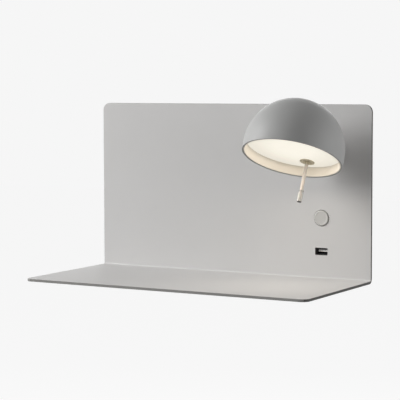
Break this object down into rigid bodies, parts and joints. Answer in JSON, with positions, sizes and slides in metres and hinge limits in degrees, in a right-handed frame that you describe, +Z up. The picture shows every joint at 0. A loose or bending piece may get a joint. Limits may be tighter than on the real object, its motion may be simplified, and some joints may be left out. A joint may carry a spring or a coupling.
{
  "type": "wall lamp with shelf",
  "caption": "Wall lamp made of a folded sheet panel with a shelf, a dome head on a swivelling and tilting stem, a push button and a charging socket.",
  "frame": {"origin": "on the wall plane, at the centre of the wall bracket's four screw slots", "axes": "+X to the right, -Y from the wall into the room, +Z up"},
  "size_m": [0.36, 0.193, 0.2111],
  "materials": {
    "grey_paint": "satin powder coat",
    "shade_paint": "spun aluminium with a matt grey powder coat",
    "button_paint": "satin",
    "steel": "zinc plated",
    "aluminium": "satin",
    "white_metal": "matt white paint",
    "black_plastic": "matt",
    "rubber": "matt",
    "white_plastic": "satin",
    "opal": "opal, lit from behind, emissive",
    "cream": "satin",
    "lead_jacket": "satin",
    "red_jacket": "satin",
    "earth_jacket": "satin",
    "brass": "plain",
    "board": "white solder mask",
    "phosphor": "emissive",
    "olive_metal": "satin",
    "dark_metal": "satin",
    "grey_plastic": "matt"
  },
  "bodies": {
    "base": {"shelf_panel": "grey_paint", "rear_housing": "grey_paint", "housing_nuts": "steel", "wall_bracket": "steel", "lock_screws": "steel", "cable_grommet": "rubber", "terminal_block": "white_plastic", "earth_terminal": "brass", "led_driver": "white_plastic", "driver_nuts": "steel", "mains_lead": "lead_jacket", "earth_lead": "earth_jacket", "driver_lead": "lead_jacket", "switch_lead": "red_jacket", "usb_lead": "lead_jacket", "usb_module": "black_plastic", "module_nuts": "steel", "usb_shell": "steel", "usb_tongue": "white_plastic", "usb_contacts": "brass", "switch_holder": "black_plastic", "holder_nuts": "steel", "micro_switch": "black_plastic", "button_spring": "steel", "stem_bush": "white_plastic", "bush_nut": "steel", "stop_post": "steel"},
    "button": {"push_button": "button_paint", "button_clip": "steel"},
    "arm": {"stem": "aluminium", "stem_collar": "aluminium", "collar_screw": "steel", "stem_washers": "black_plastic", "stop_washer": "steel", "stem_nut": "steel", "stem_lead": "lead_jacket", "hinge_pin": "steel", "hinge_nut": "steel", "friction_washers": "black_plastic"},
    "head": {"head_knuckle": "steel", "knuckle_screws": "steel", "reflector_pan": "white_metal", "led_board": "board", "led_chips": "phosphor", "spacer_tube": "aluminium", "stud_nut": "steel", "shade": "shade_paint", "diffuser": "opal", "diffuser_ring": "cream", "head_lead": "lead_jacket", "handle_bezel": "olive_metal", "handle_neck": "dark_metal", "handle_rod": "cream", "handle_grip": "cream", "handle_tip": "grey_plastic"}
  },
  "joints": [
    {"name": "head_swivel", "type": "hinge", "parent": "base", "child": "arm", "pos_m": [0.118, -0.056, 0.0516], "axis": [0, -1, 0], "range_deg": [-90, 90]},
    {"name": "head_tilt", "type": "hinge", "parent": "arm", "child": "head", "pos_m": [0.118, -0.056, 0.0516], "axis": [-1, 0, 0], "range_deg": [-35, 35], "deforming": ["head_lead"]},
    {"name": "button_press", "type": "slide", "parent": "base", "child": "button", "axis": [0, 1, 0], "range_m": [0, 0.001], "stiffness_N_per_m": 400, "springref_m": -0.004, "deforming": ["button_spring"]}
  ]
}
